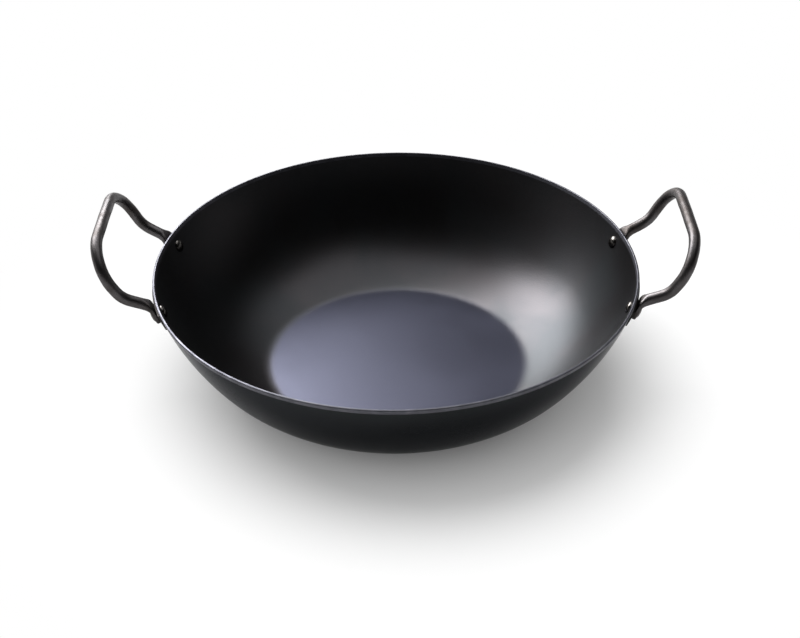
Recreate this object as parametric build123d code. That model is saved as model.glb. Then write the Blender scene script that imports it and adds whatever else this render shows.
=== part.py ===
from build123d import *
import math
import os

# A kadai: a round pan pressed from one steel sheet, with a flat base, a wall that grows steeper
# towards a plain cut rim, and two loop handles of round bar. Each end of a handle is forged flat,
# lies on a thin strap that hugs the wall outside, and is held by a rivet with its dome inside.
# Millimetres, +Z up. The origin is the middle of the flat base, on the surface that it stands on.
# The handles point along +X (right) and -X (left), and +Y is the back.

# Bowl
rim_radius = 150.0          # outside of the rim
bowl_height = 74.3          # base to rim, outside of the sheet
sheet_thickness = 1.5
base_radius = 84.0          # where the base's plane and the wall's first slope would cross
corner_radius = 24.0        # round from base to wall, outside
wall_start_slope = 18.5     # degrees from level, just after the corner
rim_slope = 72.5            # degrees from level, at the rim
rim_outer_round = 0.6
rim_inner_round = 0.35

# Rivets
rivet_half_spacing = 38.6   # handle's middle to a rivet's, along Y, at the wall outside
rivet_drop = 9.2            # rim to the rivet's middle, along Z
shank_radius = 2.5
shank_clearance = 0.1       # all round, in each hole
head_radius = 4.0
head_height = 2.0
tail_radius = 3.7
tail_height = 1.2

# Straps
strap_drop = 3.5            # rim to the strap's top edge, along Z
strap_width = 10.5          # top edge to bottom edge, along Z
strap_thickness = 1.5
strap_beyond_rivet = 12.0   # rivet's middle to the strap's end, round the wall
strap_edge_round = 0.3
seat_gap = 0.1              # between surfaces that lie on each other

# Handles
bar_radius = 3.5
handle_reach = 27.5         # rim to the bar's middle at its corners, along X
handle_rise = 34.8          # rim to the bar's middle at the grip's middle, along Z
shoulder_overhang = 5.9     # rivet's middle to the bar's middle at the shoulder, along Y
leg_bend_radius = 18.0
shoulder_bend_radius = 20.0
corner_bend_radius = 25.0
foot_width = 12.0
foot_thickness = 3.2
foot_below_rivet = 5.4      # rivet's middle to the foot's round end
foot_above_rivet = 7.7      # rivet's middle to where the foot's and the leg's middle lines cross
foot_bend_radius = 5.5
foot_end_round = 0.8
neck_length = 3.0           # bar beyond the foot's bend that still narrows to its round section

# Bends of the loop, as shares of (handle_reach, handle's half width, handle_rise)
leg_bend_shares = (0.475, 0.975, 0.124)
shoulder_bend_shares = (0.80, 1.0, 0.576)
corner_bend_shares = (1.0, 0.69, 0.942)
grip_bow_shares = (0.98, 0.24, 1.0)
grip_middle_shares = (0.98, 0.0, 1.0)
# Most that the bends take of a run
run_share = 0.98
# Degrees from a rivet dome's top at which its outline's points stand
dome_turns = (90, 68, 45, 22, 0)
# Where the neck's sections stand along it
neck_shares = (0.0, 0.15, 0.3, 0.5, 0.7, 0.85, 1.0)
# Radius of the foot's round end, of its width
foot_end_share = 0.51
# Most of a thickness that a round on one edge takes, or rounds on both edges together
one_round_share = 0.25
both_rounds_share = 0.9

# The bar's section is an oval of this power: 2 is a circle, and more fills the corners
round_power = 2.0
foot_power = 5.0
section_points = 24

overrun = 10.0              # how far cutters reach past what they cut

back, front = 1, -1


# Wall profile, in the plane of X and Z
def slope_point(centre, radius, slope):
    """The point of an arc where it has this slope."""
    angle = math.radians(slope)
    return (centre[0] + radius * math.sin(angle), centre[1] - radius * math.cos(angle))


def arc_centre(point, radius, slope):
    """The middle of the arc that passes a point at this slope."""
    angle = math.radians(slope)
    return (point[0] - radius * math.sin(angle), point[1] + radius * math.cos(angle))


def join_two_arcs(start, start_slope, end, end_slope):
    """Slope at the joint, and both radii, of two tangent arcs with tangents of one length."""
    first_angle, last_angle = math.radians(start_slope), math.radians(end_slope)
    run, rise = end[0] - start[0], end[1] - start[1]
    cosines = math.cos(first_angle) + math.cos(last_angle)
    sines = math.sin(first_angle) + math.sin(last_angle)
    along = run * cosines + rise * sines
    spread = 2 * (1 - math.cos(last_angle - first_angle))
    tangent = (math.sqrt(along**2 + spread * (run**2 + rise**2)) - along) / spread
    joint_slope = math.degrees(math.atan2(rise - tangent * sines, run - tangent * cosines))
    first_radius = tangent / math.tan(math.radians(joint_slope - start_slope) / 2)
    last_radius = tangent / math.tan(math.radians(end_slope - joint_slope) / 2)
    return joint_slope, first_radius, last_radius


flat_radius = base_radius - corner_radius * math.tan(math.radians(wall_start_slope) / 2)
corner_centre = (flat_radius, corner_radius)
wall_start = slope_point(corner_centre, corner_radius, wall_start_slope)
rim_edge = (rim_radius, bowl_height)
joint_slope, lower_radius, upper_radius = join_two_arcs(
    wall_start, wall_start_slope, rim_edge, rim_slope
)
lower_centre = arc_centre(wall_start, lower_radius, wall_start_slope)
upper_centre = arc_centre(rim_edge, upper_radius, rim_slope)


def profile_arc(centre, radius, slope_from, slope_to):
    """An arc of the profile between two slopes."""
    slopes = (slope_from, (slope_from + slope_to) / 2, slope_to)
    points = [slope_point(centre, radius, slope) for slope in slopes]
    return ThreePointArc(*[(x, 0, z) for x, z in points])


def upper_wall_arc(offset, slope_from, slope_to):
    """An arc beside the upper wall, this far outside the sheet's outer face."""
    return profile_arc(upper_centre, upper_radius + offset, slope_from, slope_to)


def wall_line(offset):
    """The profile from the base to the rim, this far outside the sheet's outer face."""
    return [
        profile_arc(corner_centre, corner_radius + offset, 0, wall_start_slope),
        profile_arc(lower_centre, lower_radius + offset, wall_start_slope, joint_slope),
        upper_wall_arc(offset, joint_slope, rim_slope),
    ]


def upper_wall_slope(drop):
    """Slope of the wall's outer face at this drop below the rim."""
    return math.degrees(math.acos((upper_centre[1] - bowl_height + drop) / upper_radius))


# Rivet places
rivet_slope = upper_wall_slope(rivet_drop)
rivet_radius, rivet_height = slope_point(upper_centre, upper_radius, rivet_slope)
rivet_angle = math.degrees(math.asin(rivet_half_spacing / rivet_radius))


def rivet_plane(side):
    """Where a right rivet stands on the wall outside, with Z outwards and Y up the wall."""
    turn = math.radians(side * rivet_angle)
    out = Vector(math.cos(turn), math.sin(turn), 0)
    rise = math.radians(rivet_slope)
    up_wall = out * math.cos(rise) + Vector(0, 0, math.sin(rise))
    outward = out * math.sin(rise) - Vector(0, 0, math.cos(rise))
    origin = out * rivet_radius + Vector(0, 0, rivet_height)
    return Plane(origin=origin, x_dir=up_wall.cross(outward), z_dir=outward)


strap_inside = seat_gap
strap_outside = strap_inside + strap_thickness
foot_inside = strap_outside + seat_gap
foot_outside = foot_inside + foot_thickness
foot_middle = foot_inside + foot_thickness / 2


def rivet_holes():
    """Cutters for the right handle's two rivet holes."""
    cutter = Cylinder(shank_radius + shank_clearance, 2 * (foot_outside + overrun))
    return [rivet_plane(side).location * cutter for side in (back, front)]


# Bowl
def make_bowl():
    """The pressed sheet, with four rivet holes."""
    outside = wall_line(0)
    inside = wall_line(-sheet_thickness)
    outer_rim, inner_rim = outside[-1] @ 1, inside[-1] @ 1
    axis_bottom = (0, 0, 0)
    axis_top = (0, 0, sheet_thickness)
    section = make_face(
        [Line(axis_bottom, outside[0] @ 0)]
        + outside
        + [Line(outer_rim, inner_rim)]
        + inside
        + [Line(inside[0] @ 0, axis_top), Line(axis_top, axis_bottom)]
    )
    room = both_rounds_share * sheet_thickness / (rim_outer_round + rim_inner_round)
    for corner, radius in ((outer_rim, rim_outer_round), (inner_rim, rim_inner_round)):
        nearest = section.vertices().sort_by_distance(corner)[0]
        section = fillet(nearest, radius * min(1, room))
    bowl = revolve(section, Axis.Z)
    for hole in rivet_holes():
        bowl -= [hole, mirror(hole, Plane.YZ)]
    return bowl


# Strap
def make_strap():
    """The right handle's strap, bent to the wall, with two rivet holes."""
    top = upper_wall_slope(strap_drop)
    bottom = upper_wall_slope(strap_drop + strap_width)
    inside = upper_wall_arc(strap_inside, bottom, top)
    outside = upper_wall_arc(strap_outside, bottom, top)
    ends = [Line(inside @ 0, outside @ 0), Line(inside @ 1, outside @ 1)]
    section = make_face([inside, outside] + ends)
    half_angle = rivet_angle + math.degrees(strap_beyond_rivet / rivet_radius)
    strap = revolve(Rot(0, 0, -half_angle) * section, Axis.Z, 2 * half_angle)
    outer_face = strap.faces().sort_by(SortBy.AREA)[-1]
    strap = fillet(outer_face.edges(), min(strap_edge_round, one_round_share * strap_thickness))
    return strap - rivet_holes()


# Rivets
def dome_line(radius, height, base, way):
    """A dome's outline, a quarter of an oval, from its edge on this base to its top, up (1) or down (-1)."""
    turns = [math.radians(turn) for turn in dome_turns]
    points = [(radius * math.sin(turn), 0, base + way * height * math.cos(turn)) for turn in turns]
    return Spline(*points, tangents=[(0, 0, way), (-1, 0, 0)])


def make_rivet(side):
    """The right handle's back or front rivet: inner dome, shank and outer tail."""
    head_base = -(sheet_thickness + seat_gap)
    head = dome_line(head_radius, head_height, head_base, -1)
    tail_base = foot_outside + seat_gap
    tail = dome_line(tail_radius, tail_height, tail_base, 1)
    outline = [
        head,
        Line(head @ 0, (shank_radius, 0, head_base)),
        Line((shank_radius, 0, head_base), (shank_radius, 0, tail_base)),
        Line((shank_radius, 0, tail_base), tail @ 0),
        tail,
        Line(tail @ 1, head @ 1),
    ]
    return rivet_plane(side).location * revolve(make_face(outline), Axis.Z)


# Handles
handle_half_width = rivet_half_spacing + shoulder_overhang


def loop_point(shares):
    """A bend of the right handle's loop on its front half, from its shares."""
    reach, width, rise = shares
    return Vector(
        rim_radius + reach * handle_reach,
        -width * handle_half_width,
        bowl_height + rise * handle_rise,
    )


def bar_section(width, depth, power):
    """A section of the bar: a circle where round, and a soft-cornered oblong in the flat foot."""
    points = []
    for step in range(section_points):
        angle = 2 * math.pi * step / section_points
        across, out = math.cos(angle), math.sin(angle)
        points.append((
            math.copysign(abs(across) ** (2 / power) * width / 2, across),
            math.copysign(abs(out) ** (2 / power) * depth / 2, out),
        ))
    return make_face(Spline(points, periodic=True))


def part_way(start, end, share):
    """A value this share of the way from start to end, slow at both."""
    return start + (3 - 2 * share) * share**2 * (end - start)


def make_neck(path, across):
    """The bend from the flat foot to the round bar, and the start of the leg."""
    sections = []
    for share in neck_shares:
        width = part_way(foot_width, 2 * bar_radius, share)
        depth = part_way(foot_thickness, 2 * bar_radius, share)
        power = part_way(foot_power, round_power, share)
        place = Plane(path @ share, x_dir=across, z_dir=path % share)
        sections.append(place * bar_section(width, depth, power))
    return loft(sections)


def make_foot(plane, neck_face):
    """The flat end under a rivet, round at the bottom and as wide as the neck's flat face."""
    strip = extrude(neck_face, foot_above_rivet + foot_below_rivet, dir=-plane.y_dir)
    end_radius = foot_end_share * foot_width
    thickness = foot_thickness + 2 * seat_gap
    round_end = Cylinder(end_radius, thickness)
    round_end = fillet(round_end.edges(), min(foot_end_round, one_round_share * foot_thickness))
    above = Pos(0, end_radius) * Box(2 * end_radius, 2 * end_radius, thickness)
    end_place = Pos(0, end_radius - foot_below_rivet, foot_middle)
    return strip & plane.location * end_place * (round_end + above)


def bend_radii(points, wanted):
    """The wanted radii, each cut to what its two runs leave room for."""
    radii = []
    for index, radius in enumerate(wanted):
        before, corner, after = points[index:index + 3]
        turn = math.radians((corner - before).get_angle(after - corner))
        room_before = (corner - before).length * (1 if index == 0 else 1 / 2)
        room_after = (after - corner).length * (1 if index == len(wanted) - 1 else 1 / 2)
        room = run_share * min(room_before, room_after)
        radii.append(min(radius, room / math.tan(turn / 2)))
    return radii


def make_grip_half(neck_face):
    """The round bar from a neck's round face to the grip's middle."""
    bends = [loop_point(shares) for shares in (leg_bend_shares, shoulder_bend_shares, corner_bend_shares)]
    bow, middle = loop_point(grip_bow_shares), loop_point(grip_middle_shares)
    bow_way = (bow - bends[-1]).normalized()
    bow_start = bow - bow_way * (middle - bow).length
    points = [neck_face.center()] + bends + [bow_start]
    radii = bend_radii(points, (leg_bend_radius, shoulder_bend_radius, corner_bend_radius))
    line = FilletPolyline(*points, radius=radii)
    path = Wire(line.edges() + [TangentArc(bow_start, middle, tangent=bow_way)])
    return sweep(neck_face, path)


def make_handle():
    """The right handle: one bar, bent into a loop, with both ends forged flat and drilled."""
    plane = rivet_plane(front)
    up_wall = plane.y_dir
    cross = plane.from_local_coords(Vector(0, foot_above_rivet, foot_middle))
    leg = (loop_point(leg_bend_shares) - cross).normalized()
    turn = math.radians(up_wall.get_angle(leg))
    tangent = foot_bend_radius * math.tan(turn / 2)
    bend = TangentArc(cross - up_wall * tangent, cross + leg * tangent, tangent=up_wall)
    neck_path = Wire([bend, Line(bend @ 1, bend @ 1 + leg * neck_length)])
    neck = make_neck(neck_path, plane.x_dir)
    neck_faces = neck.faces().filter_by(GeomType.PLANE).sort_by_distance(plane.origin)
    half = neck + make_foot(plane, neck_faces[0]) + make_grip_half(neck_faces[-1])
    return half + mirror(half, Plane.XZ) - rivet_holes()


right_handle = make_handle()
right_strap = make_strap()
right_rivets = {"back": make_rivet(back), "front": make_rivet(front)}

nodes = {
    "bowl": make_bowl(),
    "handle_right": right_handle,
    "handle_left": mirror(right_handle, Plane.YZ),
    "strap_right": right_strap,
    "strap_left": mirror(right_strap, Plane.YZ),
}
for place, rivet in right_rivets.items():
    nodes[f"rivet_right_{place}"] = rivet
    nodes[f"rivet_left_{place}"] = mirror(rivet, Plane.YZ)

os.makedirs("parts", exist_ok=True)
for name, shape in nodes.items():
    export_step(shape, f"parts/{name}.step")
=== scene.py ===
"""The kadai's looks: blued steel bowl, forged bar handles, straps and rivets, in a plain white studio.

Everything is in metres, +Z up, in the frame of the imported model. The handles point along +X and -X,
and the camera looks from the front, along +Y.
"""

import logging
import math
from dataclasses import dataclass
from enum import Enum, IntEnum
from itertools import product
from typing import ClassVar

import bpy
from mathutils import Matrix, Vector, noise


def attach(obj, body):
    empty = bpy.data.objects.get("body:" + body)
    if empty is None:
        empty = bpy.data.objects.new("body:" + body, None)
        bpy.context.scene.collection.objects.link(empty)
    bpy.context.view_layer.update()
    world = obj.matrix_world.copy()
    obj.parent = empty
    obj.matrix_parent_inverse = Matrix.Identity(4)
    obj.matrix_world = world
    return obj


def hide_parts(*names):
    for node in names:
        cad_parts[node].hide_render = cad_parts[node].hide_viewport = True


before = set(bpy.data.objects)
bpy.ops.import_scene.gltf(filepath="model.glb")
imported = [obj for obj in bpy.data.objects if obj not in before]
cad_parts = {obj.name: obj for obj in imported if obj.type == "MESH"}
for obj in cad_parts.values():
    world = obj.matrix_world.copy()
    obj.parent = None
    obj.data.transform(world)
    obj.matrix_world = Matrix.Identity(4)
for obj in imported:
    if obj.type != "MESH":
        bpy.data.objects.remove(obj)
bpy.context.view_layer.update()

MM = 0.001

RIVET_HALF_SPACING = 38.6 * MM
RIVET_DROP = 9.2 * MM
SHANK_RADIUS = 2.5 * MM
SHANK_CLEARANCE = 0.1 * MM
DRILL_LENGTH = 16 * MM
DRILL_SIDES = 48

log = logging.getLogger("kadai")

Colour = tuple[float, float, float, float]


class Slot(Enum):
    """The record's material slots."""

    BOWL = "bowl_steel"
    HANDLE = "handle_steel"
    STRAP = "strap_steel"
    RIVET = "rivet_steel"


class Side(Enum):
    """The side of the bowl that a handle is on."""

    RIGHT = "right"
    LEFT = "left"

    @property
    def flip(self) -> Matrix:
        """The mirror that takes a right piece to this side."""
        return Matrix.Diagonal((-1, 1, 1, 1)) if self is Side.LEFT else Matrix.Identity(4)


class End(Enum):
    """The end of a handle that a rivet holds, and its way along Y."""

    BACK = 1
    FRONT = -1


class Zone(IntEnum):
    """The bowl's zones, in the order of its finishes."""

    INSIDE = 0
    OUTSIDE = 1
    RIM = 2


class Effect(Enum):
    """Surface effects that several finishes share, each one node group."""

    GRAIN = "fine_grain"
    CLOUDS = "oxide_clouds"
    EDGES = "edge_wear"


def place_in_scene(name: str, data: bpy.types.ID) -> bpy.types.Object:
    """Makes an object of a mesh, a lamp or a camera, and puts it in the scene."""
    made = bpy.data.objects.new(name, data)
    bpy.context.scene.collection.objects.link(made)
    return made


class NodeSheet:
    """The nodes of a material, a group or the world, and the links between them."""

    def __init__(self, tree: bpy.types.NodeTree) -> None:
        """Starts on an empty tree.

        Args:
            tree: The node tree to fill.
        """
        self.tree = tree
        self.tree.nodes.clear()

    def add(self, kind: str, inputs: dict[str | int, object] | None = None,
            **values: object) -> bpy.types.Node:
        """Adds a node.

        Args:
            kind: Blender's name for the node's type.
            inputs: Numbers, colours or other nodes' outputs for its inputs, by name or place.
            **values: Settings of the node, by their attribute names.

        Returns:
            The new node.
        """
        node = self.tree.nodes.new(kind)
        for name, value in values.items():
            setattr(node, name, value)
        for name, value in (inputs or {}).items():
            self.feed(node.inputs[name], value)
        return node

    def feed(self, socket: bpy.types.NodeSocket, value: object) -> None:
        """Sets an input to a number or colour, or links it to an output."""
        if isinstance(value, bpy.types.NodeSocket):
            self.tree.links.new(value, socket)
        else:
            socket.default_value = value

    def maths(self, operation: str, *inputs: float | bpy.types.NodeSocket) -> bpy.types.NodeSocket:
        """Adds a Math node.

        Args:
            operation: The node's operation.
            *inputs: Numbers or sockets, in the node's order.

        Returns:
            The node's output.
        """
        return self.add("ShaderNodeMath", dict(enumerate(inputs)), operation=operation).outputs["Value"]

    def remap(self, value: bpy.types.NodeSocket, low: object, high: object,
              to_low: object = 0.0, to_high: object = 1.0) -> bpy.types.NodeSocket:
        """Moves a value from one range to another, with a smooth step between.

        Args:
            value: The value to move.
            low: Where the range starts.
            high: Where the range ends.
            to_low: What the start becomes.
            to_high: What the end becomes.

        Returns:
            The moved value.
        """
        inputs = {"Value": value, "From Min": low, "From Max": high, "To Min": to_low, "To Max": to_high}
        return self.add("ShaderNodeMapRange", inputs, interpolation_type="SMOOTHSTEP").outputs["Result"]

    def blend(self, share: object, first: object, second: object) -> bpy.types.NodeSocket:
        """Mixes two colours.

        Args:
            share: How much of the second colour shows.
            first: The colour at share 0.
            second: The colour at share 1.

        Returns:
            The mixed colour.
        """
        node = self.add("ShaderNodeMix", data_type="RGBA")
        self.feed(node.inputs["Factor"], share)
        colours_in = [socket for socket in node.inputs if socket.type == "RGBA"]
        self.feed(colours_in[0], first)
        self.feed(colours_in[1], second)
        return next(socket for socket in node.outputs if socket.type == "RGBA")

    def place(self) -> bpy.types.NodeSocket:
        """Gives the surface point in the object's own metres."""
        return self.add("ShaderNodeTexCoord").outputs["Object"]

    def axis_distance(self) -> bpy.types.NodeSocket:
        """Gives how far the surface point is from the object's upright axis."""
        level = self.add("ShaderNodeVectorMath", {0: self.place(), 1: (1.0, 1.0, 0.0)}, operation="MULTIPLY")
        return self.add("ShaderNodeVectorMath", {0: level.outputs["Vector"]},
                        operation="LENGTH").outputs["Value"]

    def noise_field(self, size: bpy.types.NodeSocket, **values: float) -> bpy.types.NodeSocket:
        """Adds a noise over the object's own metres.

        Args:
            size: How far apart its humps are.
            **values: Its other inputs, by their names.

        Returns:
            The noise.
        """
        inputs = {"Vector": self.place(), "Scale": self.maths("DIVIDE", 1.0, size), **values}
        return self.add("ShaderNodeTexNoise", inputs).outputs["Fac"]

    def give(self, **values: bpy.types.NodeSocket) -> bpy.types.NodeTree:
        """Puts values out of a group, by the names of its outputs, and gives its tree."""
        self.add("NodeGroupOutput", values)
        return self.tree


class EffectShelf:
    """Builds each shared effect once and places it in materials."""

    GRAIN_DETAIL = 2.5
    GRAIN_ROUGHNESS = 0.55
    HOLLOW_RANGE = (0.52, 0.34)
    CLOUD_DETAIL = 4.0
    CLOUD_DISTORTION = 0.5
    CLOUD_MIDDLE = 0.5
    EDGE_SAMPLES = 6
    EDGE_RANGE = (0.995, 0.90)
    PATCH_DETAIL = 3.0
    PATCH_RANGE = (0.35, 0.6)
    PATCH_WEAR = (0.35, 1.0)

    def __init__(self) -> None:
        """Starts with no group built."""
        self.groups: dict[Effect, bpy.types.NodeTree] = {}

    def use(self, sheet: NodeSheet, effect: Effect, **inputs: float) -> bpy.types.Node:
        """Places an effect in a material.

        Args:
            sheet: The material's nodes.
            effect: The effect to place.
            **inputs: The group's inputs, with spaces in their names as underscores.

        Returns:
            The group node.
        """
        if effect not in self.groups:
            makers = {Effect.GRAIN: self.make_grain, Effect.CLOUDS: self.make_clouds,
                      Effect.EDGES: self.make_edges}
            self.groups[effect] = makers[effect]()
        named = {name.replace("_", " "): value for name, value in inputs.items()}
        return sheet.add("ShaderNodeGroup", named, node_tree=self.groups[effect], label=effect.value)

    @staticmethod
    def start(effect: Effect, inputs: tuple[str, ...],
              outputs: tuple[str, ...]) -> tuple[NodeSheet, object]:
        """Makes an empty group with its sockets.

        Args:
            effect: The effect that the group is for.
            inputs: Names of its numbers in.
            outputs: Names of its values out.

        Returns:
            The group's nodes and the numbers given to it.
        """
        tree = bpy.data.node_groups.new(effect.value, "ShaderNodeTree")
        for way, names in (("INPUT", inputs), ("OUTPUT", outputs)):
            for name in names:
                tree.interface.new_socket(name=name, in_out=way, socket_type="NodeSocketFloat")
        sheet = NodeSheet(tree)
        return sheet, sheet.add("NodeGroupInput").outputs

    def make_grain(self) -> bpy.types.NodeTree:
        """Builds the fine orange-peel grain of oxidised steel: a height and a mask of its hollows."""
        sheet, given = self.start(Effect.GRAIN, ("Size",), ("Height", "Hollows"))
        height = sheet.noise_field(given["Size"], Detail=self.GRAIN_DETAIL, Roughness=self.GRAIN_ROUGHNESS)
        return sheet.give(Height=height, Hollows=sheet.remap(height, *self.HOLLOW_RANGE))

    def make_clouds(self) -> bpy.types.NodeTree:
        """Builds the slow, uneven clouds of an oxide film: one mask."""
        sheet, given = self.start(Effect.CLOUDS, ("Size", "Softness"), ("Mask",))
        film = sheet.noise_field(given["Size"], Detail=self.CLOUD_DETAIL, Distortion=self.CLOUD_DISTORTION)
        low = sheet.maths("SUBTRACT", self.CLOUD_MIDDLE, given["Softness"])
        high = sheet.maths("ADD", self.CLOUD_MIDDLE, given["Softness"])
        return sheet.give(Mask=sheet.remap(film, low, high))

    def make_edges(self) -> bpy.types.NodeTree:
        """Builds the wear of handled edges, broken up by small patches: one mask."""
        sheet, given = self.start(Effect.EDGES, ("Width", "Patch Size"), ("Mask",))
        rounded = sheet.add("ShaderNodeBevel", {"Radius": given["Width"]}, samples=self.EDGE_SAMPLES)
        normals = {0: rounded.outputs["Normal"], 1: sheet.add("ShaderNodeNewGeometry").outputs["Normal"]}
        facing = sheet.add("ShaderNodeVectorMath", normals, operation="DOT_PRODUCT")
        edge = sheet.remap(facing.outputs["Value"], *self.EDGE_RANGE)
        spots = sheet.noise_field(given["Patch Size"], Detail=self.PATCH_DETAIL)
        patches = sheet.remap(spots, *self.PATCH_RANGE, *self.PATCH_WEAR)
        return sheet.give(Mask=sheet.maths("MULTIPLY", edge, patches))


@dataclass(frozen=True, kw_only=True)
class SteelFinish:
    """An oxidised steel: its film of oxide, its fine grain and its worn edges. Some pieces' film colours
    also carry painted shade or a painted highlight.
    """

    name: str
    thin_film: Colour
    thick_film: Colour
    worn: Colour
    cloud_size: float
    cloud_softness: float = 0.2
    smooth: float
    rough: float
    worn_roughness: float
    grain_size: float
    grain_height: float
    edge_width: float = 0.5 * MM
    wear_share: float = 0.2
    grazing: Colour = (0.8, 0.8, 0.8, 1)
    patch_size: ClassVar[float] = 8 * MM
    hollow_roughness: ClassVar[float] = 0.03

    def film(self, sheet: NodeSheet, clouds: bpy.types.NodeSocket) -> bpy.types.NodeSocket:
        """Gives the oxide film's colour.

        Args:
            sheet: The material's nodes.
            clouds: Where the film is thick.

        Returns:
            The colour.
        """
        return sheet.blend(clouds, self.thin_film, self.thick_film)

    def make(self, shelf: EffectShelf) -> bpy.types.Material:
        """Builds the material.

        Args:
            shelf: The shared effects.

        Returns:
            The material.
        """
        material = bpy.data.materials.new(self.name)
        material.use_nodes = True
        sheet = NodeSheet(material.node_tree)
        clouds = shelf.use(sheet, Effect.CLOUDS, Size=self.cloud_size, Softness=self.cloud_softness)
        grain = shelf.use(sheet, Effect.GRAIN, Size=self.grain_size)
        edges = shelf.use(sheet, Effect.EDGES, Width=self.edge_width, Patch_Size=self.patch_size)
        wear = sheet.maths("MULTIPLY", edges.outputs["Mask"], self.wear_share)
        patchy = sheet.remap(clouds.outputs["Mask"], 0.0, 1.0, self.smooth, self.rough)
        hollows = sheet.maths("MULTIPLY", grain.outputs["Hollows"], self.hollow_roughness)
        grained = sheet.maths("ADD", patchy, hollows)
        gap = sheet.maths("SUBTRACT", self.worn_roughness, grained)
        bump = sheet.add("ShaderNodeBump", {"Strength": 1.0, "Distance": self.grain_height,
                                            "Height": grain.outputs["Height"]})
        steel = sheet.add("ShaderNodeBsdfPrincipled", {
            "Base Color": sheet.blend(wear, self.film(sheet, clouds.outputs["Mask"]), self.worn),
            "Metallic": 1.0,
            "Specular Tint": self.grazing,
            "Roughness": sheet.maths("MULTIPLY_ADD", gap, wear, grained),
            "Normal": bump.outputs["Normal"],
        })
        sheet.add("ShaderNodeOutputMaterial", {"Surface": steel.outputs["BSDF"]})
        return material


@dataclass(frozen=True, kw_only=True)
class BluedSteel(SteelFinish):
    """The bowl's steel, whose film is bluer on the flat floor than on the wall."""

    floor_film: Colour
    floor_radius: float
    floor_fade: float

    def film(self, sheet: NodeSheet, clouds: bpy.types.NodeSocket) -> bpy.types.NodeSocket:
        """Gives the film's colour, which changes from the floor to the wall.

        Args:
            sheet: The material's nodes.
            clouds: Where the film is thick.

        Returns:
            The colour.
        """
        wall = super().film(sheet, clouds)
        outward = sheet.remap(sheet.axis_distance(), self.floor_radius - self.floor_fade,
                              self.floor_radius + self.floor_fade)
        return sheet.blend(outward, self.floor_film, wall)


BOWL_FINISH = BluedSteel(
    name="blued_bowl_inside",
    thin_film=(0.0445, 0.0420, 0.0445, 1),
    thick_film=(0.0360, 0.0380, 0.0410, 1),
    worn=(0.26, 0.26, 0.29, 1),
    cloud_size=60 * MM,
    cloud_softness=0.22,
    smooth=0.34,
    rough=0.39,
    worn_roughness=0.30,
    grain_size=1.1 * MM,
    grain_height=0.045 * MM,
    grazing=(0.9, 0.9, 0.9, 1),
    floor_film=(0.036, 0.0375, 0.0535, 1),
    floor_radius=82 * MM,
    floor_fade=4 * MM,
)
HANDLE_FINISH = SteelFinish(
    name="forged_bar",
    thin_film=(0.078, 0.074, 0.076, 1),
    thick_film=(0.050, 0.044, 0.042, 1),
    worn=(0.16, 0.15, 0.14, 1),
    cloud_size=14 * MM,
    smooth=0.39,
    rough=0.50,
    worn_roughness=0.36,
    grain_size=0.8 * MM,
    grain_height=0.02 * MM,
    wear_share=0.3,
)
# The strap's film, worn colour and grazing tint are much darker than the bar's: painted shade for the
# shadowed gap between the strap, the wall and the rim.
STRAP_FINISH_WITH_PAINTED_SHADE = SteelFinish(
    name="rolled_strap_painted_shade",
    thin_film=(0.034, 0.032, 0.031, 1),
    thick_film=(0.022, 0.021, 0.020, 1),
    worn=(0.05, 0.05, 0.05, 1),
    cloud_size=10 * MM,
    smooth=0.40,
    rough=0.48,
    worn_roughness=0.36,
    grain_size=0.8 * MM,
    grain_height=0.02 * MM,
    edge_width=0.4 * MM,
    grazing=(0.35, 0.35, 0.35, 1),
)
RIVET_FINISH = SteelFinish(
    name="peened_rivet",
    thin_film=(0.105, 0.098, 0.093, 1),
    thick_film=(0.070, 0.066, 0.062, 1),
    worn=(0.18, 0.17, 0.17, 1),
    cloud_size=3 * MM,
    cloud_softness=0.25,
    smooth=0.21,
    rough=0.28,
    worn_roughness=0.24,
    grain_size=0.6 * MM,
    grain_height=0.012 * MM,
    edge_width=0.4 * MM,
    wear_share=0.3,
)
# The outside's film is darker and its grazing tint weaker than the inside's: painted shade for the dark,
# shadowed floor under the pan that the outside mirrors.
BOWL_OUTSIDE_FINISH_WITH_PAINTED_SHADE = SteelFinish(
    name="blued_bowl_outside_painted_shade",
    thin_film=(0.029, 0.031, 0.032, 1),
    thick_film=(0.021, 0.023, 0.024, 1),
    worn=(0.10, 0.10, 0.11, 1),
    cloud_size=60 * MM,
    cloud_softness=0.22,
    smooth=0.20,
    rough=0.25,
    worn_roughness=0.22,
    grain_size=1.1 * MM,
    grain_height=0.012 * MM,
    grazing=(0.53, 0.53, 0.54, 1),
)
# The rim's film is paler than the bowl's and its edges wear through fully: partly the bare cut steel of the
# trimmed edge, partly a painted highlight along the rim.
RIM_FINISH_WITH_PAINTED_HIGHLIGHT = SteelFinish(
    name="cut_rim_bare_and_highlight",
    thin_film=(0.100, 0.100, 0.115, 1),
    thick_film=(0.070, 0.070, 0.082, 1),
    worn=(0.14, 0.14, 0.16, 1),
    cloud_size=9 * MM,
    smooth=0.42,
    rough=0.50,
    worn_roughness=0.40,
    grain_size=0.7 * MM,
    grain_height=0.010 * MM,
    edge_width=0.35 * MM,
    wear_share=1.0,
    grazing=(0.9, 0.9, 0.9, 1),
)


class Wardrobe:
    """Makes each finish once and dresses the pieces."""

    def __init__(self) -> None:
        """Starts with no finish made."""
        self.shelf = EffectShelf()
        self.made: dict[str, bpy.types.Material] = {}

    def dress(self, piece: bpy.types.Object, node: str, slot: Slot, *finishes: SteelFinish) -> None:
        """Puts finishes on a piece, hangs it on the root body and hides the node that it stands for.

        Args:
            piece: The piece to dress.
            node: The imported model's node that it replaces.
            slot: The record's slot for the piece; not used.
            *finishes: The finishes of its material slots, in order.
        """
        for finish in finishes:
            if finish.name not in self.made:
                self.made[finish.name] = finish.make(self.shelf)
            piece.data.materials.append(self.made[finish.name])
        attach(piece, "root")
        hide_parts(node)
        log.info("dressed %s in %s", piece.name, ", ".join(finish.name for finish in finishes))


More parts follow.
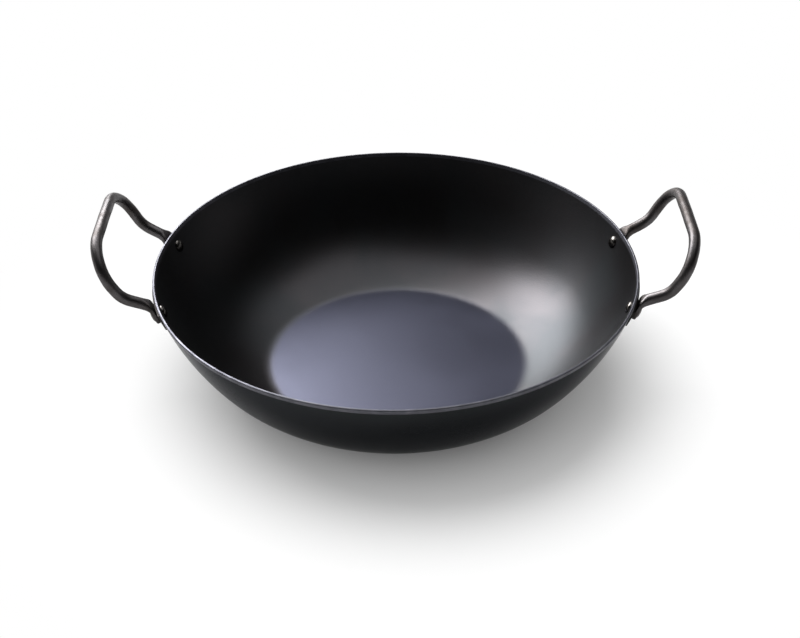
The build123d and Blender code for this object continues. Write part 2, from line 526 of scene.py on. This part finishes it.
@dataclass
class Studio:
    """The white paper, the softbox at the back left, the panel above and the room round them."""

    floor_radius: float = 6.0
    floor_sides: int = 128
    floor_drop: float = 0.2 * MM
    floor_place: tuple[float, float] = (0.02, 0.01)
    floor_white: Colour = (1.0, 1.0, 1.0, 1)
    shadow_lift: float = 0.03
    lit_radius: float = 0.08
    far_radius: float = 0.32
    key_azimuth: float = 126.5
    key_elevation: float = 38.0
    key_distance: float = 1.8
    key_width: float = 1.5
    key_height: float = 1.1
    key_power: float = 100.0
    paper_azimuth: float = 125.0
    paper_elevation: float = 64.5
    paper_power: float = 2.2
    paper_spread: float = 60.0
    overhead_place: tuple[float, float, float] = (0.1, 0.44, 1.4)
    overhead_size: float = 1.5
    overhead_power: float = 12.5
    daylight: Colour = (0.59, 0.59, 0.59, 1)
    ceiling: Colour = (0.0, 0.0, 0.0, 1)
    ceiling_rise: float = 0.40
    horizon: Colour = (0.9, 0.9, 0.9, 1)
    front_share: float = 0.3
    front_range: tuple[float, float] = (-0.5, 0.2)
    backdrop: Colour = (1.0, 1.0, 1.0, 1)

    def build(self) -> None:
        """Makes the floor, the lamps and the world."""
        self.make_floor()
        self.make_key()
        self.make_overhead()
        self.make_paper_light()
        self.make_world()
        log.info("studio built")

    def make_floor(self) -> None:
        """Lays a round sheet of white paper just under the pan."""
        bpy.ops.mesh.primitive_circle_add(vertices=self.floor_sides, radius=self.floor_radius,
                                          location=(*self.floor_place, -self.floor_drop),
                                          fill_type="NGON")
        floor = bpy.context.object
        floor.name = "studio_floor"
        floor.data.materials.append(self.floor_material())

    def floor_material(self) -> bpy.types.Material:
        """Builds the paper, on which the camera sees the pan's shadow fade out to plain white."""
        material = bpy.data.materials.new("studio_white")
        material.use_nodes = True
        sheet = NodeSheet(material.node_tree)
        paper = sheet.add("ShaderNodeBsdfDiffuse", {"Color": self.floor_white})
        glow = sheet.add("ShaderNodeEmission", {"Color": self.floor_white})
        far = sheet.remap(sheet.axis_distance(), self.lit_radius, self.far_radius, self.shadow_lift, 1.0)
        seen = sheet.add("ShaderNodeLightPath").outputs["Is Camera Ray"]
        mix = sheet.add("ShaderNodeMixShader", {0: sheet.maths("MULTIPLY", far, seen),
                                                1: paper.outputs["BSDF"], 2: glow.outputs["Emission"]})
        sheet.add("ShaderNodeOutputMaterial", {"Surface": mix.outputs["Shader"]})
        return material

    def make_key(self) -> None:
        """Makes the softbox, aimed at the pan."""
        way = self.way_to(self.key_azimuth, self.key_elevation)
        lamp = self.hang("key_softbox", "AREA", way * self.key_distance, self.key_power)
        lamp.data.shape = "RECTANGLE"
        lamp.data.size = self.key_width
        lamp.data.size_y = self.key_height
        lamp.visible_diffuse = False

    def make_overhead(self) -> None:
        """Makes the weak panel above the pan's back half."""
        lamp = self.hang("overhead_panel", "AREA", Vector(self.overhead_place), self.overhead_power)
        lamp.data.size = self.overhead_size
        lamp.visible_diffuse = False

    def make_paper_light(self) -> None:
        """Makes the soft light on the paper, from the softbox's side, that steel doesn't mirror."""
        way = self.way_to(self.paper_azimuth, self.paper_elevation)
        lamp = self.hang("paper_light", "SUN", way, self.paper_power)
        lamp.data.angle = math.radians(self.paper_spread)
        lamp.visible_glossy = False

    @staticmethod
    def hang(name: str, kind: str, place: Vector, power: float) -> bpy.types.Object:
        """Hangs a lamp that shines on the pan.

        Args:
            name: The lamp's name.
            kind: Blender's name for its type.
            place: Where it hangs.
            power: Its energy.

        Returns:
            The lamp.
        """
        lamp = place_in_scene(name, bpy.data.lights.new(name, kind))
        lamp.data.energy = power
        lamp.location = place
        lamp.rotation_mode = "QUATERNION"
        lamp.rotation_quaternion = place.to_track_quat("Z", "Y")
        return lamp

    @staticmethod
    def way_to(azimuth: float, elevation: float) -> Vector:
        """Gives the direction of a lamp from the pan.

        Args:
            azimuth: Degrees from +X towards +Y.
            elevation: Degrees above the floor.

        Returns:
            A vector of length 1.
        """
        turn, rise = math.radians(azimuth), math.radians(elevation)
        return Vector((math.cos(turn) * math.cos(rise), math.sin(turn) * math.cos(rise), math.sin(rise)))

    def make_world(self) -> None:
        """Makes the room.

        Steel mirrors a bright horizon that is dimmer in front and dark above. All else gets even
        daylight, and the camera sees a white backdrop.
        """
        world = bpy.data.worlds.new("studio_room")
        world.use_nodes = True
        sheet = NodeSheet(world.node_tree)
        way = sheet.add("ShaderNodeTexCoord").outputs["Generated"]
        parts = sheet.add("ShaderNodeSeparateXYZ", {"Vector": way})
        risen = sheet.remap(parts.outputs["Z"], 0.0, self.ceiling_rise)
        behind = sheet.remap(parts.outputs["Y"], *self.front_range, self.front_share, 1.0)
        mirrored = sheet.blend(behind, self.ceiling, sheet.blend(risen, self.horizon, self.ceiling))
        path = sheet.add("ShaderNodeLightPath").outputs
        light = sheet.blend(path["Is Glossy Ray"], self.daylight, mirrored)
        seen = sheet.blend(path["Is Camera Ray"], light, self.backdrop)
        room = sheet.add("ShaderNodeBackground", {"Color": seen})
        sheet.add("ShaderNodeOutputWorld", {"Surface": room.outputs["Background"]})
        bpy.context.scene.world = world


@dataclass
class PhotoCamera:
    """The camera at the photograph's place."""

    distance: float = 900 * MM
    elevation: float = 33.95
    roll: float = -0.0089
    lens: float = 63.56
    nearest: float = 10 * MM
    target: Vector = Vector((2.26 * MM, 0.0, 32.85 * MM))

    def build(self) -> None:
        """Makes the camera and gives it to the scene."""
        tilt = math.radians(self.elevation)
        forward = Vector((0.0, math.cos(tilt), -math.sin(tilt)))
        level, up = Vector((1.0, 0.0, 0.0)), Vector((0.0, math.sin(tilt), math.cos(tilt)))
        across = level * math.cos(self.roll) + up * math.sin(self.roll)
        upright = up * math.cos(self.roll) - level * math.sin(self.roll)
        place = Matrix((across, upright, -forward)).transposed().to_4x4()
        place.translation = self.target - forward * self.distance
        camera = place_in_scene("photo_camera", bpy.data.cameras.new("photo_camera"))
        camera.data.lens = self.lens
        camera.data.clip_start = self.nearest
        camera.matrix_world = place
        bpy.context.scene.camera = camera
        log.info("camera placed")


@dataclass(frozen=True)
class Wall:
    """The bowl's outer profile: flat base, corner, and two wall arcs up to the rim."""

    rim_radius: float = 150.0 * MM
    height: float = 74.3 * MM
    thickness: float = 1.5 * MM
    base_radius: float = 84.0 * MM
    corner_radius: float = 24.0 * MM
    start_slope: float = math.radians(18.5)
    rim_slope: float = math.radians(72.5)

    @staticmethod
    def on_arc(centre: Vector, radius: float, slope: float) -> Vector:
        """Gives the point of an arc where it has this slope, as (distance from the axis, height)."""
        return centre + radius * Vector((math.sin(slope), -math.cos(slope)))

    @property
    def flat_radius(self) -> float:
        """The radius where the flat base ends."""
        return self.base_radius - self.corner_radius * math.tan(self.start_slope / 2)

    @property
    def rim_edge(self) -> Vector:
        """The outer corner of the rim."""
        return Vector((self.rim_radius, self.height))

    def arcs(self) -> list[tuple[Vector, float, float, float]]:
        """Works out the profile's three tangent arcs.

        Returns:
            Each arc's middle, radius, first slope and last slope, from the base up.
        """
        corner = Vector((self.flat_radius, self.corner_radius))
        start = self.on_arc(corner, self.corner_radius, self.start_slope)
        way = self.rim_edge - start
        sides = Vector((math.cos(self.start_slope) + math.cos(self.rim_slope),
                        math.sin(self.start_slope) + math.sin(self.rim_slope)))
        along = way.dot(sides)
        spread = 2 * (1 - math.cos(self.rim_slope - self.start_slope))
        tangent = (math.sqrt(along ** 2 + spread * way.length_squared) - along) / spread
        joint = math.atan2(way.y - tangent * sides.y, way.x - tangent * sides.x)
        lower = tangent / math.tan((joint - self.start_slope) / 2)
        upper = tangent / math.tan((self.rim_slope - joint) / 2)
        lower_middle = start - self.on_arc(Vector((0, 0)), lower, self.start_slope)
        upper_middle = self.rim_edge - self.on_arc(Vector((0, 0)), upper, self.rim_slope)
        return [(corner, self.corner_radius, 0.0, self.start_slope),
                (lower_middle, lower, self.start_slope, joint),
                (upper_middle, upper, joint, self.rim_slope)]

    def upper_slope(self, drop: float) -> float:
        """Gives the slope of the outer face at this drop below the rim."""
        middle, radius = self.arcs()[-1][:2]
        return math.acos((middle.y - self.height + drop) / radius)


@dataclass(frozen=True)
class RivetPlace:
    """Where a right rivet stands on the wall, and the directions there."""

    origin: Vector
    across: Vector
    up_wall: Vector
    outward: Vector

    @classmethod
    def on(cls, wall: Wall, end: End) -> "RivetPlace":
        """Finds the place of a right rivet.

        Args:
            wall: The bowl's wall.
            end: The handle's end that it holds.

        Returns:
            The place.
        """
        slope = wall.upper_slope(RIVET_DROP)
        middle, radius = wall.arcs()[-1][:2]
        distance, height = wall.on_arc(middle, radius, slope)
        turn = end.value * math.asin(RIVET_HALF_SPACING / distance)
        out = Vector((math.cos(turn), math.sin(turn), 0.0))
        rise = Vector((0.0, 0.0, 1.0))
        up_wall = out * math.cos(slope) + rise * math.sin(slope)
        outward = out * math.sin(slope) - rise * math.cos(slope)
        return cls(out * distance + rise * height, up_wall.cross(outward), up_wall, outward)

    def at(self, across: float, up_wall: float, outward: float) -> Vector:
        """Gives a point from its distances along the three directions."""
        return self.origin + self.across * across + self.up_wall * up_wall + self.outward * outward

    def matrix(self) -> Matrix:
        """Gives the place as a matrix whose Z points outward."""
        turned = Matrix((self.across, self.up_wall, self.outward)).transposed().to_4x4()
        turned.translation = self.origin
        return turned


@dataclass
class Skin:
    """A closed mesh of rings with equally many points, and a cap on the first and the last ring."""

    name: str
    rings: list[list[Vector]]
    zones: list[Zone] | None = None
    sharp_edge: float = math.radians(35.0)

    def faces(self) -> list[list[int]]:
        """Lists the faces between neighbouring rings, and then the two caps."""
        count, around = len(self.rings), len(self.rings[0])
        found = []
        for ring in range(count - 1):
            first, second = ring * around, (ring + 1) * around
            for step in range(around):
                after = (step + 1) % around
                found.append([first + step, first + after, second + after, second + step])
        found.append(list(range(around))[::-1])
        found.append(list(range((count - 1) * around, count * around)))
        return found

    def make(self, side: Side) -> bpy.types.Object:
        """Builds the mesh.

        Args:
            side: The side it is for. A left piece is the right one mirrored.

        Returns:
            The piece.
        """
        points = [side.flip @ point for ring in self.rings for point in ring]
        faces = self.faces() if side is Side.RIGHT else [face[::-1] for face in self.faces()]
        mesh = bpy.data.meshes.new(self.name)
        mesh.from_pydata(points, [], faces)
        if self.zones:
            around = len(self.rings[0])
            for face in mesh.polygons:
                face.material_index = self.zones[min(face.index // around, len(self.zones) - 1)]
        mesh.shade_smooth()
        mesh.set_sharp_from_angle(angle=self.sharp_edge)
        return place_in_scene(self.name, mesh)


def unevenness(point: Vector, size: float, height: float) -> float:
    """Gives a smooth random height at a point.

    Args:
        point: Where, in the right side's or the bowl's own place.
        size: How far apart its humps are.
        height: How high they are.

    Returns:
        The height, up or down.
    """
    return height * noise.noise(point / size)


def share_between(value: float, start: float, end: float) -> float:
    """Gives how far a value has come from the start to the end, from 0 to 1."""
    return min(1.0, max(0.0, (value - start) / (end - start)))


def full_turn(steps: int) -> list[float]:
    """Gives the angles once round, in even steps, without the last."""
    return [2 * math.pi * step / steps for step in range(steps)]


def quarter_arc(steps: int) -> list[float]:
    """Gives the angles from 0 to a right angle, in even steps."""
    return [math.pi / 2 * index / steps for index in range(steps + 1)]


def drill(piece: bpy.types.Object, wall: Wall, *sides: Side) -> None:
    """Cuts rivet holes through a piece.

    Args:
        piece: The piece to cut.
        wall: The bowl's wall.
        *sides: The sides whose two rivets pass through it.
    """
    cutters = []
    for end, side in product(End, sides):
        bpy.ops.mesh.primitive_cylinder_add(vertices=DRILL_SIDES, depth=DRILL_LENGTH,
                                            radius=SHANK_RADIUS + SHANK_CLEARANCE)
        cutter = bpy.context.object
        cutter.matrix_world = side.flip @ RivetPlace.on(wall, end).matrix() @ side.flip
        cut = piece.modifiers.new("hole", "BOOLEAN")
        cut.object = cutter
        cut.operation = "DIFFERENCE"
        cut.solver = "EXACT"
        cutters.append(cutter)
    graph = bpy.context.evaluated_depsgraph_get()
    drilled = bpy.data.meshes.new_from_object(piece.evaluated_get(graph))
    piece.modifiers.clear()
    piece.data = drilled
    for cutter in cutters:
        bpy.data.objects.remove(cutter)


@dataclass
class Bowl:
    """The pressed sheet, with a plain cut rim and four rivet holes."""

    wall: Wall
    outer_round: float = 0.6 * MM
    inner_round: float = 0.35 * MM
    around: int = 384
    step: float = 2.2 * MM
    first_ring: float = 0.15
    least_parts: int = 6
    round_steps: int = 6
    wave_size: float = 55.0 * MM
    wave_height: float = 0.045 * MM
    wave_start: float = 20.0 * MM
    wave_fade: tuple[float, float] = (50.0 * MM, 30.0 * MM)

    def face_line(self, offset: float, end_short: float) -> list[Vector]:
        """Gives the profile of a face from the base's middle to just under the rim.

        Args:
            offset: How far outside the outer face it runs.
            end_short: How far below the rim its last step ends, along the wall.

        Returns:
            The points, from near the axis, without the last step's end.
        """
        flat = self.wall.flat_radius
        steps = round(flat / self.step)
        line = [Vector((flat * (index + self.first_ring) / steps, -offset)) for index in range(steps)]
        arcs = self.wall.arcs()
        for arc in arcs:
            middle, radius, first, last = arc
            if arc is arcs[-1]:
                last -= end_short / radius
            parts = max(self.least_parts, round(radius * (last - first) / self.step))
            for index in range(parts):
                slope = first + (last - first) * index / parts
                line.append(self.wall.on_arc(middle, radius + offset, slope))
        return line

    def rim_line(self) -> list[Vector]:
        """Gives the rim between the outer and the inner face, with its two rounded corners."""
        slope = self.wall.rim_slope
        up = Vector((math.cos(slope), math.sin(slope)))
        out = Vector((up.y, -up.x))
        outer, inner = self.wall.rim_edge, self.wall.rim_edge - out * self.wall.thickness
        turns = quarter_arc(self.round_steps)
        line = []
        for corner, radius, away, order in ((outer, self.outer_round, out, turns),
                                            (inner, self.inner_round, -out, turns[::-1])):
            middle = corner - (up + away) * radius
            line += [middle + (away * math.cos(turn) + up * math.sin(turn)) * radius for turn in order]
        return line

    def pressed(self, radius: float, height: float, turn: float) -> Vector:
        """Gives a point of the sheet, with the slow waves that pressing leaves low on its wall.

        Args:
            radius: Its distance from the axis.
            height: Its height.
            turn: Its angle from +X.

        Returns:
            The point.
        """
        point = Vector((radius * math.cos(turn), radius * math.sin(turn), height))
        flat = self.wall.flat_radius
        if radius > flat:
            fade = share_between(height, *self.wave_fade)
            wave = fade * unevenness(Vector((point.x, point.y, 0.0)), self.wave_size, self.wave_height)
            start = share_between(radius, flat, flat + self.wave_start)
            point *= 1 + start * wave / point.length
        return point

    def build(self, wardrobe: Wardrobe) -> None:
        """Spins the profile, drills it and dresses it.

        Args:
            wardrobe: The finishes.
        """
        outside = self.face_line(0.0, self.outer_round)
        rim = self.rim_line()
        inside = self.face_line(-self.wall.thickness, self.inner_round)
        zones = ([Zone.OUTSIDE] * (len(outside) - 1) + [Zone.RIM] * (len(rim) + 1)
                 + [Zone.INSIDE] * len(inside))
        rings = [[self.pressed(radius, height, turn) for turn in full_turn(self.around)]
                 for radius, height in outside + rim + inside[::-1]]
        piece = Skin("bowl_shell", rings, zones).make(Side.RIGHT)
        wardrobe.dress(piece, "bowl", Slot.BOWL, BOWL_FINISH, BOWL_OUTSIDE_FINISH_WITH_PAINTED_SHADE, RIM_FINISH_WITH_PAINTED_HIGHLIGHT)
        drill(piece, self.wall, *Side)


@dataclass
class Strap:
    """A thin backing strip between a handle's feet and the wall."""

    wall: Wall
    drop: float = 3.5 * MM
    width: float = 10.5 * MM
    thickness: float = 1.5 * MM
    beyond_rivet: float = 12.0 * MM
    edge_round: float = 0.3 * MM
    edge_share: float = 0.9
    seat_gap: float = 0.1 * MM
    across_parts: int = 22
    round_steps: int = 4
    station: float = 1.2 * MM

    def section(self, shrink: float, turn: float) -> list[Vector]:
        """Gives the strip's section at one place round the wall.

        Args:
            shrink: How much lower the outer face is there.
            turn: The place, as an angle from +X.

        Returns:
            The ring of points.
        """
        middle, radius = self.wall.arcs()[-1][:2]
        top = self.wall.upper_slope(self.drop)
        bottom = self.wall.upper_slope(self.drop + self.width)
        thick = self.thickness - shrink
        bend = min(self.edge_round, thick * self.edge_share)
        inner = [(bottom + (top - bottom) * index / self.across_parts, 0.0)
                 for index in range(self.across_parts + 1)]
        outer = []
        for edge, way in ((top, -1), (bottom, 1)):
            outer.append([(edge + way * bend * (1 - math.cos(angle)) / radius,
                           thick - bend + bend * math.sin(angle))
                          for angle in quarter_arc(self.round_steps)])
        first, last = outer[0][-1][0], outer[1][-1][0]
        between = [(first + (last - first) * index / self.across_parts, thick)
                   for index in range(1, self.across_parts)]
        ring = []
        for slope, offset in inner + outer[0] + between + outer[1][::-1]:
            distance, height = self.wall.on_arc(middle, radius + self.seat_gap + offset, slope)
            ring.append(Vector((distance * math.cos(turn), distance * math.sin(turn), height)))
        return ring

    def build(self, side: Side, wardrobe: Wardrobe) -> None:
        """Bends the strip round the wall, drills it and dresses it.

        Args:
            side: The side it is on.
            wardrobe: The finishes.
        """
        radius = self.wall.rim_radius
        rivet = RivetPlace.on(self.wall, End.BACK).origin
        half = math.atan2(rivet.y, rivet.x) + self.beyond_rivet / math.hypot(rivet.x, rivet.y)
        straight = half - self.edge_round / radius
        steps = round(2 * half * radius / self.station)
        end = []
        for index in range(self.round_steps):
            share = index / self.round_steps
            lost = self.edge_round * (1 - math.sqrt(1 - (1 - share) ** 2))
            end.append((lost, half - self.edge_round * share / radius))
        rings = [self.section(lost, -turn) for lost, turn in end]
        rings += [self.section(0.0, -straight + 2 * straight * index / steps) for index in range(steps + 1)]
        rings += [self.section(lost, turn) for lost, turn in end[::-1]]
        piece = Skin(f"strap_{side.value}_strip", rings).make(side)
        drill(piece, self.wall, side)
        wardrobe.dress(piece, f"strap_{side.value}", Slot.STRAP, STRAP_FINISH_WITH_PAINTED_SHADE)


@dataclass
class Handle:
    """One round bar bent into a loop, with both ends forged flat and drilled.

    The loop's bends and its bowed grip are placed by their shares of its reach, half width and rise.
    """

    wall: Wall
    bar_radius: float = 3.5 * MM
    reach: float = 27.5 * MM
    rise: float = 34.8 * MM
    half_width: float = 44.5 * MM
    bend_places: tuple[tuple[float, float, float], ...] = (
        (0.475, 0.975, 0.124), (0.80, 1.0, 0.576), (1.0, 0.69, 0.942))
    bend_radii: tuple[float, ...] = (18.0 * MM, 20.0 * MM, 25.0 * MM)
    bend_room: float = 0.98
    bow_places: tuple[tuple[float, float, float], ...] = ((0.98, 0.24, 1.0), (0.98, 0.0, 1.0))
    foot_width: float = 12.0 * MM
    foot_thickness: float = 3.2 * MM
    foot_middle: float = 3.3 * MM
    foot_below: float = 5.4 * MM
    foot_above: float = 7.7 * MM
    foot_bend_radius: float = 5.5 * MM
    foot_end_round: float = 0.8 * MM
    foot_end_share: float = 0.51
    foot_end_mm: tuple[float, ...] = (0.02, 0.06, 0.14, 0.27, 0.45, 0.68, 1.0, 1.5, 2.1, 2.8, 3.6, 4.5, 5.4)
    neck_length: float = 3.0 * MM
    foot_power: float = 5.0
    bar_power: float = 2.0
    around: int = 48
    station: float = 0.9 * MM
    shortest_run: float = 0.09 * MM
    least_bend_parts: int = 3
    forge_size: float = 9.0 * MM
    forge_height: float = 0.12 * MM
    peen_size: float = 2.6 * MM
    peen_height: float = 0.035 * MM
    inset: float = 0.05 * MM
    least_offset: float = 1.0 * MM

    def loop_point(self, reach: float, width: float, rise: float) -> Vector:
        """Gives a bend of the loop's front half from its shares of reach, half width and rise."""
        return Vector((self.wall.rim_radius + reach * self.reach, -width * self.half_width,
                       self.wall.height + rise * self.rise))

    def corners(self) -> list[tuple[Vector, float]]:
        """Lists the front half's corners, each with how far before and after it the bend reaches."""
        foot = RivetPlace.on(self.wall, End.FRONT)
        end = foot.at(0, -self.foot_below, self.foot_middle)
        cross = foot.at(0, self.foot_above, self.foot_middle)
        bends = [self.loop_point(*shares) for shares in self.bend_places]
        bow, middle = (self.loop_point(*shares) for shares in self.bow_places)
        leg = (bends[0] - cross).normalized()
        foot_tangent = self.foot_bend_radius * math.tan((cross - end).angle(leg) / 2)
        neck_end = cross + leg * (foot_tangent + self.neck_length)
        bow_tangent = (middle - bow).length
        bow_start = bow - (bow - bends[-1]).normalized() * bow_tangent
        line = [neck_end, *bends, bow_start]
        found = [(end, 0.0), (cross, foot_tangent)]
        for index, radius in enumerate(self.bend_radii):
            before, corner, after = line[index:index + 3]
            turn = (corner - before).angle(after - corner)
            room_before = (corner - before).length / (1 if index == 0 else 2)
            room_after = (after - corner).length / (1 if index == len(self.bend_radii) - 1 else 2)
            room = self.bend_room * min(room_before, room_after)
            found.append((corner, min(radius * math.tan(turn / 2), room)))
        return found + [(bow, bow_tangent), (middle, 0.0)]

    def half_line(self) -> list[Vector]:
        """Gives the middle line of the front half, from the foot's end to the grip's middle."""
        corners = self.corners()
        line = [corners[0][0]]
        for (before, _), (corner, tangent), (after, _) in zip(corners, corners[1:], corners[2:]):
            way_in, way_out = (corner - before).normalized(), (after - corner).normalized()
            turn = way_in.angle(way_out)
            start = corner - way_in * tangent
            self.run(line, start)
            radius = tangent / math.tan(turn / 2)
            inward = (way_out - way_in * way_in.dot(way_out)).normalized()
            middle = start + inward * radius
            parts = max(self.least_bend_parts, round(radius * turn / self.station))
            for index in range(1, parts + 1):
                angle = turn * index / parts
                line.append(middle + (way_in * math.sin(angle) - inward * math.cos(angle)) * radius)
        self.run(line, corners[-1][0])
        return line

    def run(self, line: list[Vector], goal: Vector) -> None:
        """Adds the points of a straight run to a line.

        Args:
            line: The line so far.
            goal: Where the run ends.
        """
        start = line[-1]
        distance = (goal - start).length
        if distance < self.shortest_run:
            return
        parts = max(1, round(distance / self.station))
        line.extend(start.lerp(goal, index / parts) for index in range(1, parts + 1))

    def foot_start_line(self, line: list[Vector]) -> list[Vector]:
        """Puts more points at the foot's round end.

        Args:
            line: The half's middle line.

        Returns:
            The line with a finer start.
        """
        way = (line[1] - line[0]).normalized()
        end_radius = self.foot_end_share * self.foot_width
        start = [line[0] + way * (distance * MM) for distance in self.foot_end_mm]
        return start + [point for point in line if (point - line[0]).length > end_radius]

    def section_size(self, distance: float, neck: tuple[float, float]) -> tuple[float, float, float]:
        """Gives the bar's width, depth and corner power at a distance from the foot's end.

        Args:
            distance: How far along the middle line.
            neck: Where the neck starts and ends along it.

        Returns:
            Width, depth and power.
        """
        share = share_between(distance, *neck)
        share = (3 - 2 * share) * share ** 2
        width = self.foot_width + share * (2 * self.bar_radius - self.foot_width)
        depth = self.foot_thickness + share * (2 * self.bar_radius - self.foot_thickness)
        power = self.foot_power + share * (self.bar_power - self.foot_power)
        end_radius = self.foot_end_share * self.foot_width
        if distance < end_radius:
            width = min(width, 2 * math.sqrt(end_radius ** 2 - (end_radius - distance) ** 2))
        if distance < self.foot_end_round:
            arc = self.foot_end_round
            depth -= 2 * (arc - math.sqrt(arc ** 2 - (arc - distance) ** 2))
        return width, depth, power

    def half_rings(self) -> list[list[Vector]]:
        """Gives the front half's rings, from the foot's end to the grip's middle."""
        foot = RivetPlace.on(self.wall, End.FRONT)
        (end, _), (cross, tangent), (first_bend, _) = self.corners()[:3]
        foot_turn = (cross - end).angle(first_bend - cross)
        neck_start = (cross - end).length - tangent
        neck = (neck_start, neck_start + self.foot_bend_radius * foot_turn + self.neck_length)
        line = self.foot_start_line(self.half_line())
        across, grip_way = foot.across, Vector((0.0, 1.0, 0.0))
        distance = (line[0] - end).length
        rings = []
        for index, centre in enumerate(line):
            before, after = line[max(0, index - 1)], line[min(len(line) - 1, index + 1)]
            way = (after - before).normalized() if index < len(line) - 1 else grip_way
            across = (across - way * across.dot(way)).normalized()
            out = way.cross(across)
            if index:
                distance += (centre - line[index - 1]).length
            width, depth, power = self.section_size(distance, neck)
            ring = []
            for turn in full_turn(self.around):
                side, front = math.cos(turn), math.sin(turn)
                offset = (across * math.copysign(abs(side) ** (2 / power) * width / 2, side)
                          + out * math.copysign(abs(front) ** (2 / power) * depth / 2, front))
                ring.append(self.forged(centre, offset, distance, neck))
            rings.append(ring)
        return rings

    def forged(self, centre: Vector, offset: Vector, distance: float, neck: tuple[float, float]) -> Vector:
        """Moves a point of the bar's skin as forging left it.

        Args:
            centre: The ring's middle.
            offset: The point's place from the middle.
            distance: How far along the middle line the ring is.
            neck: Where the neck starts and ends along it.

        Returns:
            The moved point.
        """
        point = centre + offset
        dent = unevenness(point, self.forge_size, self.forge_height)
        dent += unevenness(point, self.peen_size, self.peen_height)
        outward = dent * share_between(distance, *neck) - self.inset
        return centre + offset * (1 + outward / max(offset.length, self.least_offset))

    def build(self, side: Side, wardrobe: Wardrobe) -> None:
        """Bends the bar, drills its feet and dresses it.

        Args:
            side: The side it is on.
            wardrobe: The finishes.
        """
        half = self.half_rings()
        back = [[Vector((point.x, -point.y, point.z)) for point in ring] for ring in half[-2::-1]]
        piece = Skin(f"handle_{side.value}_bar", half + back).make(side)
        drill(piece, self.wall, side)
        wardrobe.dress(piece, f"handle_{side.value}", Slot.HANDLE, HANDLE_FINISH)


@dataclass
class Rivet:
    """A rivet with its dome inside the bowl and a low tail on the handle's foot."""

    wall: Wall
    head_radius: float = 4.0 * MM
    head_height: float = 2.0 * MM
    tail_radius: float = 3.7 * MM
    tail_height: float = 1.2 * MM
    head_base: float = -1.6 * MM
    tail_base: float = 5.0 * MM
    around: int = 64
    dome_steps: int = 14
    top_share: float = 0.25
    peen_size: float = 1.9 * MM
    head_peen: float = 0.012 * MM
    tail_peen: float = 0.09 * MM

    def dome(self, radius: float, height: float, base: float, way: int) -> list[tuple[float, float]]:
        """Gives a dome's outline from its edge to near its top.

        Args:
            radius: The dome's radius.
            height: Its height.
            base: Where it stands along the rivet.
            way: 1 if it rises outward and -1 if it rises inward.

        Returns:
            Radius and place along the rivet of each point.
        """
        whole = math.pi / 2
        turns = [whole * (1 - index / self.dome_steps) for index in range(self.dome_steps)]
        turns.append(whole / self.dome_steps * self.top_share)
        return [(radius * math.sin(turn), base + way * height * math.cos(turn)) for turn in turns]

    def peen(self, along: float) -> float:
        """Gives how far outward peening moved the metal at a place along the rivet."""
        if along < self.head_base:
            return self.head_peen
        return -self.tail_peen if along > self.tail_base else 0.0

    def build(self, side: Side, end: End, wardrobe: Wardrobe) -> None:
        """Turns the rivet, marks it as peening left it and dresses it.

        Args:
            side: The side it is on.
            end: The handle's end that it holds.
            wardrobe: The finishes.
        """
        place = RivetPlace.on(self.wall, end)
        head = self.dome(self.head_radius, self.head_height, self.head_base, -1)
        tail = self.dome(self.tail_radius, self.tail_height, self.tail_base, 1)
        shank = [(SHANK_RADIUS, self.head_base), (SHANK_RADIUS, self.tail_base)]
        rings = []
        for radius, along in head[::-1] + shank + tail:
            ring = []
            for turn in full_turn(self.around):
                point = place.at(radius * math.cos(turn), radius * math.sin(turn), along)
                moved = self.peen(along) + unevenness(point, self.peen_size, self.peen(along))
                ring.append(point + place.outward * moved)
            rings.append(ring)
        node = f"rivet_{side.value}_{end.name.lower()}"
        piece = Skin(f"{node}_turned", rings).make(side)
        wardrobe.dress(piece, node, Slot.RIVET, RIVET_FINISH)


@dataclass
class Kadai:
    """The whole pan."""

    wardrobe: Wardrobe
    wall: Wall

    def build(self) -> None:
        """Builds every piece."""
        Bowl(self.wall).build(self.wardrobe)
        for side in Side:
            Handle(self.wall).build(side, self.wardrobe)
            Strap(self.wall).build(side, self.wardrobe)
            for end in End:
                Rivet(self.wall).build(side, end, self.wardrobe)


def main() -> None:
    """Builds the camera, the pan and the studio."""
    logging.basicConfig(level=logging.INFO, format="%(name)s: %(message)s")
    bpy.context.scene.view_settings.view_transform = "Standard"
    PhotoCamera().build()
    Kadai(Wardrobe(), Wall()).build()
    Studio().build()


if __name__ == "__main__":
    main()
